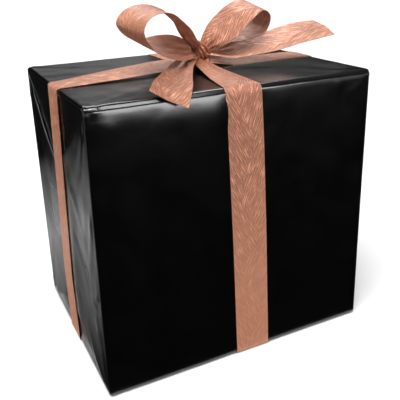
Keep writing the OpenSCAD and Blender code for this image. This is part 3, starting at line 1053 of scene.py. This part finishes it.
# %% [markdown]
# ## The tails
# The ribbon's two ends come out of the knot. One lies forward over the front edge, still
# gathered like a gutter where it leaves the knot, and opens out to its slanted cut. The other
# rises to the right and curls over, cut on a slant as well. Their cuts are plain edges, because
# satin of this kind is heat cut and doesn't fray. They are made in the same way as the loops.

# %% Tails
TAIL_START = 420
front_tail = bow_sheet([
    (10, 0, 13, 0.8, -0.5, 0.1, 6, 0.8, 0.5),
    (-4, -8, 11, 0.85, -0.5, 0, 9, 1.1, 2.0),
    (-15, -23, 9.5, 0.85, -0.5, 0.05, 11.5, 1.0, 3.2),
    (-34, -49, 8.5, 0.85, -0.5, 0.1, 14.5, 0.5, 3.0),
    (-52, -78, 7.5, 0.85, -0.5, 0.0, 16.5, 0.2, 2.2),
    (-66, -103, 7, 0.8, -0.56, -0.15, 18.5, 0, 1.4),
    (-78, -121, 0, 0.7, -0.6, -0.4, 19, 0, 0.6),
], pleats=2.6, phase=0.6, cut=(-1, 4, 7))
right_tail = bow_sheet([
    (18, 1, 16, -0.3, -0.92, -0.2, 5, 0.8, 0),
    (31, -2, 14.5, -0.3, -0.92, -0.22, 9, 1.0, -0.6),
    (48, -7, 14.5, -0.18, -0.93, -0.3, 17, 0.5, -1.4),
    (73, -15, 19.5, -0.24, -0.9, -0.36, 20, 0.1, -0.8),
    (97, -24, 26, -0.26, -0.85, -0.45, 20, 0, 0.2),
    (121, -33, 33, -0.2, -0.88, -0.44, 20, 0, 0.5),
    (149, -42, 37.5, 0.08, -0.96, -0.28, 20, 0, 0.4),
], cut=(-3, 5, 8))
bow_piece("front_tail", front_tail, TAIL_START)
bow_piece("right_tail", right_tail, TAIL_START)

# %% [markdown]
# ## The knot
# The middle of the bow is the ribbon wrapped once round the gathered loops and pulled tight, so
# it is narrow and full of pleats that run the way it is pulled. Inside it show the gathers of
# the loops, and under it sits the half knot that ties the ribbon to the parcel. A cloth run
# would hardly find such tight folds, so all three are rings of pleated ribbon round a line: the
# radius changes over the width, which makes the pleats, and a little noise makes them uneven.

# %% Pleated wraps
ROUND_STEPS = 72
WRAP_COLUMNS = 33


def wrap(centre, axis, radii, half_width, pleats, depth, tuck, twist, seed):
    """A pleated ring round an axis through centre. Its grid runs round and then across."""
    axis = unit(np.array(axis, float))
    flat_way = unit(np.cross([0, 1, 0], axis))
    other = np.cross(axis, flat_way)
    turn = np.linspace(0, math.tau, ROUND_STEPS + 1)[:-1, None]
    w = np.linspace(-1, 1, WRAP_COLUMNS)[None, :]
    a = turn + twist * w
    soft = ripples(np.stack([np.cos(a) * 2, np.sin(a) * 2, w + 0 * a], -1), 1.1, seed)
    r = 1 + depth * np.sin(w * math.pi * pleats + 0.8 * soft) - tuck * np.abs(w) ** 4 + 0.06 * soft
    lean = half_width * w * (1 + 0.12 * np.cos(turn * 2 + seed)) + 0.8 * soft
    return (np.array(centre, float) + (np.cos(a) * r * radii[0])[..., None] * flat_way
            + (np.sin(a) * r * radii[1])[..., None] * other + lean[..., None] * axis)


def knot_piece(name, grid, node):
    piece = sheet_piece(name, grid, RIBBON_T, "copper_ribbon", ring=True)
    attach(piece, "parcel")
    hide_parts(node)


print("a wrap's grid", ROUND_STEPS, "by", WRAP_COLUMNS)

# %% [markdown]
# The wrap leans with the bow, the gathers share its axis and are a little narrower and longer,
# and the half knot lies across the two bands on the top face, flattened between them.

# %% Wrap, gathers and half knot
KNOT_LEAN = math.radians(60)
KNOT_AXIS = (math.sin(KNOT_LEAN), 0, math.cos(KNOT_LEAN))
HALF_KNOT_DROP = 12.2
wrapped = wrap(KNOT, KNOT_AXIS, (9.0, 8.8), 7.0, pleats=3.2, depth=0.27, tuck=0.15, twist=0.0, seed=3.0)
gathers = wrap(KNOT, KNOT_AXIS, (6.0, 6.0), 9.8, pleats=3.5, depth=0.30, tuck=-0.1, twist=0.3, seed=8.0)
crossed = wrap(KNOT - [0, 0, HALF_KNOT_DROP], (0.86, -0.5, 0), (4.4, 11.5), 10.5,
               pleats=3.0, depth=0.24, tuck=0.45, twist=0.5, seed=5.0)
knot_piece("bow_knot", wrapped, "knot")
knot_piece("bow_gathers", gathers, "knot_core")
knot_piece("half_knot", crossed, "under_knot")

# %% [markdown]
# ## The floor
# The parcel stands on a plain pale floor that runs far back on every side, so no edge of it
# shows. One large face is enough, because nothing about it is seen but its light and shadow.

# %% Floor
FLOOR_HALF = 30.0


def plain_floor():
    s = Sketch("floor")
    cloudy = s.noise(s.add("TexCoord", out=3), 3.0, 2.0)
    return s.finish(Base_Color=s.mix(cloudy, (0.69, 0.69, 0.69, 1), (0.71, 0.71, 0.71, 1)),
                    Roughness=0.85)


def stage_face(name, material, *corners):
    """One flat face that belongs to the room and not to the parcel."""
    mesh = bpy.data.meshes.new(name)
    mesh.from_pydata(corners, [], [(0, 1, 2, 3)])
    mesh.materials.append(material)
    face = bpy.data.objects.new(name, mesh)
    bpy.context.scene.collection.objects.link(face)
    return face


def laid_corners(x, y, x2, y2, height):
    return (x, y, height), (x2, y, height), (x2, y2, height), (x, y2, height)


stage_face("floor", plain_floor(), *laid_corners(-FLOOR_HALF, -FLOOR_HALF, FLOOR_HALF, FLOOR_HALF, 0))
print("floor", 2 * FLOOR_HALF, "m wide")

# %% [markdown]
# ## The lights
# Two wide suns light the ribbon and the floor: a soft key from high on the front left, and a
# fill from nearly overhead that gloss doesn't mirror. The black paper shows nothing but what
# it mirrors, so its own lights are panels that only gloss sees, placed by mirror angles: a
# strip in front that the slack under the top edge catches, one overhead that draws a thin line
# on that edge, and three behind the parcel for the sheen on the top face and on the bow.

# %% Lights
PARCEL_MIDDLE = (0, 0, TOP * MM / 2)
TOP_MIDDLE = (0.0, 0.0, 0.3)
FRONT_UPPER = (0.0, -0.1, 0.26)


def hang_light(name, kind, place, target):
    light = bpy.data.objects.new(name, bpy.data.lights.new(name, kind))
    bpy.context.scene.collection.objects.link(light)
    light.location = place
    light.rotation_mode = "QUATERNION"
    light.rotation_quaternion = (Vector(target) - light.location).to_track_quat("-Z", "Y")
    return light


def sun(name, place, energy, angle):
    light = hang_light(name, "SUN", place, PARCEL_MIDDLE)
    light.data.energy, light.data.angle = energy, math.radians(angle)
    return light


def gloss_panel(name, place, target, width, height, power):
    light = hang_light(name, "AREA", place, target)
    light.data.shape = "RECTANGLE"
    light.data.size, light.data.size_y = width, height
    light.data.energy = power
    light.visible_camera = light.visible_diffuse = False


sun("key", (-0.8, -0.7, 2.4), 3.9, 35)
fill = sun("fill", (-0.2, -0.4, 3.0), 1.4, 140)
fill.visible_glossy = False
gloss_panel("front_strip", (0.35, -1.3, 0.50), FRONT_UPPER, 0.9, 0.4, 13.0)
gloss_panel("overhead", (0.0, -0.5, 1.5), TOP_MIDDLE, 1.0, 0.5, 18.0)
gloss_panel("back_sheen", (0.9, 1.7, 0.95), TOP_MIDDLE, 1.2, 0.5, 0.35)
gloss_panel("low_sheen", (0.35, 1.7, 0.58), TOP_MIDDLE, 0.5, 0.16, 0.12)
gloss_panel("back_glow", (0.5, 1.6, 1.75), TOP_MIDDLE, 1.6, 0.8, 30.0)

# %% [markdown]
# ## Black cards
# Glossy black paper takes on the colour of whatever it faces, and over a pale floor it would
# turn grey. Black felt cards beside it give it something dark to mirror. A darker floor would
# do it too, but then the floor would look dark as well. So the cards are met only by gloss:
# the camera, the soft light and the shadows pass through them. The one on the left is grey
# beside the parcel's back corner, because the folds of that end should catch some light.

# %% Cards
CARD_OVER = 0.002          # a laid card's height over the floor
LEFT_X, RIGHT_X, SIDE_Y = -0.16, 0.16, 0.122       # the cards' edges beside the parcel
FAR_LEFT, FAR_RIGHT, FAR_FRONT, FAR_BACK = -1.6, 3.0, -2.6, 2.6


def black_card():
    s = Sketch("black_card")
    felt = s.noise(s.add("TexCoord", out=3), 300.0)
    return s.finish(Base_Color=s.mix(felt, (0.003, 0.003, 0.003, 1), (0.006, 0.006, 0.006, 1)),
                    Roughness=1.0, IOR=1.05)


def faded_card():
    """Grey beside the parcel's back corner and black further away."""
    s = Sketch("faded_card")
    y = s.add("SeparateXYZ", {}, {"Vector": s.add("TexCoord", out=3)}, out=1)
    shade = s.ramp(abs(y - 0.28), (0.0, 0.40), (0.14, 0.22), (0.40, 0.004))
    return s.finish(Base_Color=shade, Roughness=1.0, IOR=1.05)


def upright_corners(x, x2, y, low, high):
    return (x, y, low), (x2, y, low), (x2, y, high), (x, y, high)


def card(name, material, corners):
    face = stage_face(name, material, *corners)
    face.visible_camera = face.visible_diffuse = face.visible_shadow = False


BLACK = black_card()
laid_cards = {
    "front_card": (FAR_LEFT, FAR_FRONT, FAR_RIGHT, -SIDE_Y, BLACK),
    "left_card": (FAR_LEFT, -SIDE_Y, LEFT_X, FAR_BACK, faded_card()),
    "behind_card": (LEFT_X, SIDE_Y, FAR_RIGHT, FAR_BACK, BLACK),
    "right_card": (RIGHT_X, -SIDE_Y, FAR_RIGHT, SIDE_Y, BLACK),
}
for name, (x, y, x2, y2, material) in laid_cards.items():
    card(name, material, laid_corners(x, y, x2, y2, CARD_OVER))
card("high_card", BLACK, upright_corners(-3.0, 3.0, -2.7, 0.95, 4.5))
card("back_card", BLACK, upright_corners(FAR_LEFT, FAR_RIGHT, FAR_BACK, 0.0, 2.2))
print("cards", [*laid_cards, "high_card", "back_card"])

# %% [markdown]
# The room beyond is white near the horizon, so that the floor runs into it without a line, and
# grey overhead, so that the top face keeps its black. A ramp over the height does both.

# %% World
WHITE_BELOW, GREY_ABOVE, OVERHEAD_GREY = 0.16, 0.30, 0.2
world = bpy.data.worlds.new("surroundings")
bpy.context.scene.world = world
world.use_nodes = True
nodes, links = world.node_tree.nodes, world.node_tree.links
sky = nodes.new("ShaderNodeTexCoord")
height = nodes.new("ShaderNodeSeparateXYZ")
fade = nodes.new("ShaderNodeValToRGB")
for stop, place, grey in zip(fade.color_ramp.elements, (WHITE_BELOW, GREY_ABOVE), (1.0, OVERHEAD_GREY)):
    stop.position, stop.color = place, (grey, grey, grey, 1)
links.new(sky.outputs["Generated"], height.inputs[0])
links.new(height.outputs["Z"], fade.inputs[0])
links.new(fade.outputs["Color"], nodes["Background"].inputs["Color"])
nodes["Background"].inputs["Strength"].default_value = 1.0
bpy.context.scene.view_settings.view_transform = "Standard"
print("world", world.name, len(nodes), "nodes")

# %% [markdown]
# ## Camera
# The camera stands to the front left, a little above the bow, and leans very slightly. Its
# direction is given by a turn, a rise and a lean, which are easy to read and to change. A Track
# To constraint would aim it too, but it couldn't hold the lean.

# %% Camera
TURN, RISE, LEAN = math.radians(-26.05), math.radians(19.32), math.radians(-1.67)
CAMERA_AT = Vector((-0.2811, -0.5951, 0.4219))
back = Vector((math.sin(TURN) * math.cos(RISE), -math.cos(TURN) * math.cos(RISE), math.sin(RISE)))
level = Vector((0, 0, 1)).cross(back).normalized()
upward = back.cross(level)
right = level * math.cos(LEAN) + upward * math.sin(LEAN)
upward = upward * math.cos(LEAN) - level * math.sin(LEAN)
lens = bpy.data.cameras.new("camera")
lens.lens, lens.sensor_width, lens.shift_y = 53.03, 36.0, -0.10
lens.clip_start, lens.clip_end = 0.02, 100.0
camera = bpy.data.objects.new("camera", lens)
bpy.context.scene.collection.objects.link(camera)
camera.matrix_world = Matrix((
    (right.x, upward.x, back.x, CAMERA_AT.x), (right.y, upward.y, back.y, CAMERA_AT.y),
    (right.z, upward.z, back.z, CAMERA_AT.z), (0, 0, 0, 1)))
bpy.context.scene.camera = camera
print("camera", [round(v, 3) for v in CAMERA_AT], "lens", lens.lens)

# %% [markdown]
# ## Last step
# The view layer is brought up to date once more, so every piece stands where it was put.

# %% Update the scene
bpy.context.view_layer.update()
